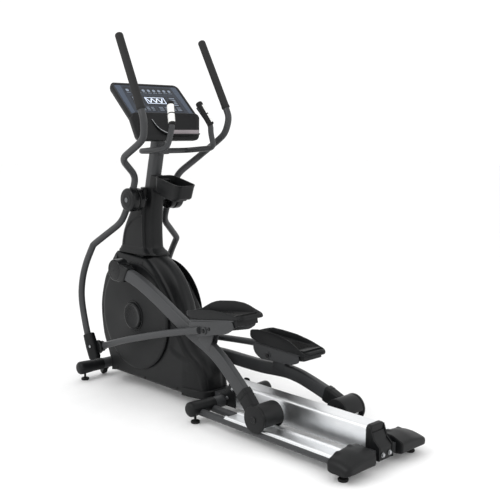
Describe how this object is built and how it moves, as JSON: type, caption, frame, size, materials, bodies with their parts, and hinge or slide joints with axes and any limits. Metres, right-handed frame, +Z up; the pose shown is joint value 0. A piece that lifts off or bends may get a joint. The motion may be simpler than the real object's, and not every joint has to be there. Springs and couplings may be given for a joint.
{
  "type": "elliptical trainer",
  "caption": "Standing elliptical trainer with swinging handles, pedals on a rear roller track, fixed handlebar, console and bottle holder.",
  "frame": {"origin": "on the floor, under the middle of the machine's length and width", "axes": "+X to the user's right, +Y the front that the user faces, +Z up"},
  "size_m": [0.604, 1.9474, 1.8203],
  "materials": {
    "charcoal_paint": "satin",
    "black_plastic": "satin",
    "black_rubber": "matte",
    "bright_aluminium": "brushed",
    "bare_steel": "satin",
    "slate_panel": "satin",
    "white_plastic": "satin",
    "black_foam": "matte"
  },
  "bodies": {
    "frame": {"main_frame": "charcoal_paint", "front_stabilizer": "charcoal_paint", "rear_stabilizer": "charcoal_paint", "end_caps": "black_plastic", "rear_end_caps": "black_plastic", "levelling_feet": "black_rubber", "base_rails": "charcoal_paint", "tracks": "bright_aluminium", "centre_beam": "bright_aluminium", "beam_bracket": "black_plastic", "frame_bolts": "bare_steel", "shroud_left": "black_plastic", "shroud_right": "black_plastic", "neck_cover": "black_plastic", "mast": "charcoal_paint", "swing_axle": "bare_steel", "console_back": "black_plastic", "console_front": "black_plastic", "display_panel": "slate_panel", "fixed_handlebar": "charcoal_paint", "fixed_grips": "black_foam", "pulse_plates": "white_plastic", "bottle_holder": "black_plastic", "drive_belt": "black_rubber", "crank_bearings": "bare_steel", "power_inlet": "black_plastic"},
    "crank": {"crank_disc_left": "black_plastic", "crank_disc_right": "black_plastic", "hub_caps": "black_plastic", "crank_axle": "bare_steel", "crank_arms": "bare_steel", "drive_pulley": "black_plastic"},
    "flywheel": {"flywheel": "bare_steel"},
    "brake": {"brake_bracket": "bare_steel"},
    "wheel_left": {"transport_wheel_left": "black_rubber"},
    "wheel_right": {"transport_wheel_right": "black_rubber"},
    "swing_left": {"handle_left": "charcoal_paint", "hand_grip_left": "black_foam", "swing_tube_left": "charcoal_paint", "pivot_cover_left": "black_plastic", "swing_boot_left": "black_plastic"},
    "axle_left": {"roller_axle_left": "bare_steel"},
    "arm_left": {"main_arm_left": "charcoal_paint", "arm_cover_left": "black_plastic", "roller_housing_left": "black_plastic"},
    "roller_left": {"roller_left": "white_plastic"},
    "link_left": {"pedal_link_left": "charcoal_paint", "foot_pedal_left": "black_plastic"},
    "swing_right": {"handle_right": "charcoal_paint", "hand_grip_right": "black_foam", "swing_tube_right": "charcoal_paint", "pivot_cover_right": "black_plastic", "swing_boot_right": "black_plastic"},
    "axle_right": {"roller_axle_right": "bare_steel"},
    "arm_right": {"main_arm_right": "charcoal_paint", "arm_cover_right": "black_plastic", "roller_housing_right": "black_plastic"},
    "roller_right": {"roller_right": "white_plastic"},
    "link_right": {"pedal_link_right": "charcoal_paint", "foot_pedal_right": "black_plastic"}
  },
  "joints": [
    {"name": "crank_turn", "type": "hinge", "parent": "frame", "child": "crank", "pos_m": [0, 0.59834, 0.396], "axis": [1, 0, 0], "range_deg": [-25, 25]},
    {"name": "flywheel_spin", "type": "hinge", "parent": "frame", "child": "flywheel", "pos_m": [0, 0.34834, 0.266], "axis": [1, 0, 0], "range_deg": [-166.7, 166.7]},
    {"name": "carriage_left", "type": "slide", "parent": "frame", "child": "axle_left", "axis": [0, 1, 0], "range_m": [-0.1017, 0.1017]},
    {"name": "arm_tilt_left", "type": "hinge", "parent": "axle_left", "child": "arm_left", "pos_m": [0, -0.41946, 0.12], "axis": [1, 0, 0], "range_deg": [-0.73, 0.73]},
    {"name": "roller_spin_left", "type": "hinge", "parent": "axle_left", "child": "roller_left", "pos_m": [0, -0.41946, 0.12], "axis": [1, 0, 0], "range_deg": [-146.7, 146.7]},
    {"name": "pedal_pivot_left", "type": "hinge", "parent": "arm_left", "child": "link_left", "pos_m": [0, -0.10865, 0.45988], "axis": [1, 0, 0], "range_deg": [-2.5, 2.5]},
    {"name": "swing_left", "type": "hinge", "parent": "frame", "child": "swing_left", "pos_m": [0, 0.57634, 1.005], "axis": [1, 0, 0], "range_deg": [-8.36, 8.36]},
    {"name": "carriage_right", "type": "slide", "parent": "frame", "child": "axle_right", "axis": [0, 1, 0], "range_m": [-0.108, 0.108]},
    {"name": "arm_tilt_right", "type": "hinge", "parent": "axle_right", "child": "arm_right", "pos_m": [0, -0.6038, 0.12], "axis": [1, 0, 0], "range_deg": [-0.66, 0.66]},
    {"name": "roller_spin_right", "type": "hinge", "parent": "axle_right", "child": "roller_right", "pos_m": [0, -0.6038, 0.12], "axis": [1, 0, 0], "range_deg": [-155.84, 155.84]},
    {"name": "pedal_pivot_right", "type": "hinge", "parent": "arm_right", "child": "link_right", "pos_m": [0, -0.17784, 0.29518], "axis": [1, 0, 0], "range_deg": [-2, 2]},
    {"name": "swing_right", "type": "hinge", "parent": "frame", "child": "swing_right", "pos_m": [0, 0.57634, 1.005], "axis": [1, 0, 0], "range_deg": [-8.19, 8.19]},
    {"name": "brake_adjust", "type": "hinge", "parent": "frame", "child": "brake", "pos_m": [0, 0.19634, 0.236], "axis": [1, 0, 0], "range_deg": [-2, 6]},
    {"name": "transport_wheel_left", "type": "hinge", "parent": "frame", "child": "wheel_left", "pos_m": [-0.08, 0.95166, 0.024], "axis": [1, 0, 0], "continuous": true},
    {"name": "transport_wheel_right", "type": "hinge", "parent": "frame", "child": "wheel_right", "pos_m": [0.08, 0.95166, 0.024], "axis": [1, 0, 0], "continuous": true}
  ],
  "couplings": [
    {"joint": "flywheel_spin", "follows": "crank_turn", "ratio": 6.6667},
    {"joint": "carriage_left", "follows": "crank_turn", "m_per_rad": -0.2329},
    {"joint": "arm_tilt_left", "follows": "crank_turn", "ratio": 0.029064},
    {"joint": "roller_spin_left", "follows": "crank_turn", "ratio": 5.8666},
    {"joint": "pedal_pivot_left", "follows": "crank_turn", "ratio": -0.099601},
    {"joint": "swing_left", "follows": "crank_turn", "ratio": -0.33425},
    {"joint": "carriage_right", "follows": "crank_turn", "m_per_rad": 0.24741},
    {"joint": "arm_tilt_right", "follows": "crank_turn", "ratio": -0.026003},
    {"joint": "roller_spin_right", "follows": "crank_turn", "ratio": -6.232},
    {"joint": "pedal_pivot_right", "follows": "crank_turn", "ratio": 0.079799},
    {"joint": "swing_right", "follows": "crank_turn", "ratio": 0.32732}
  ]
}
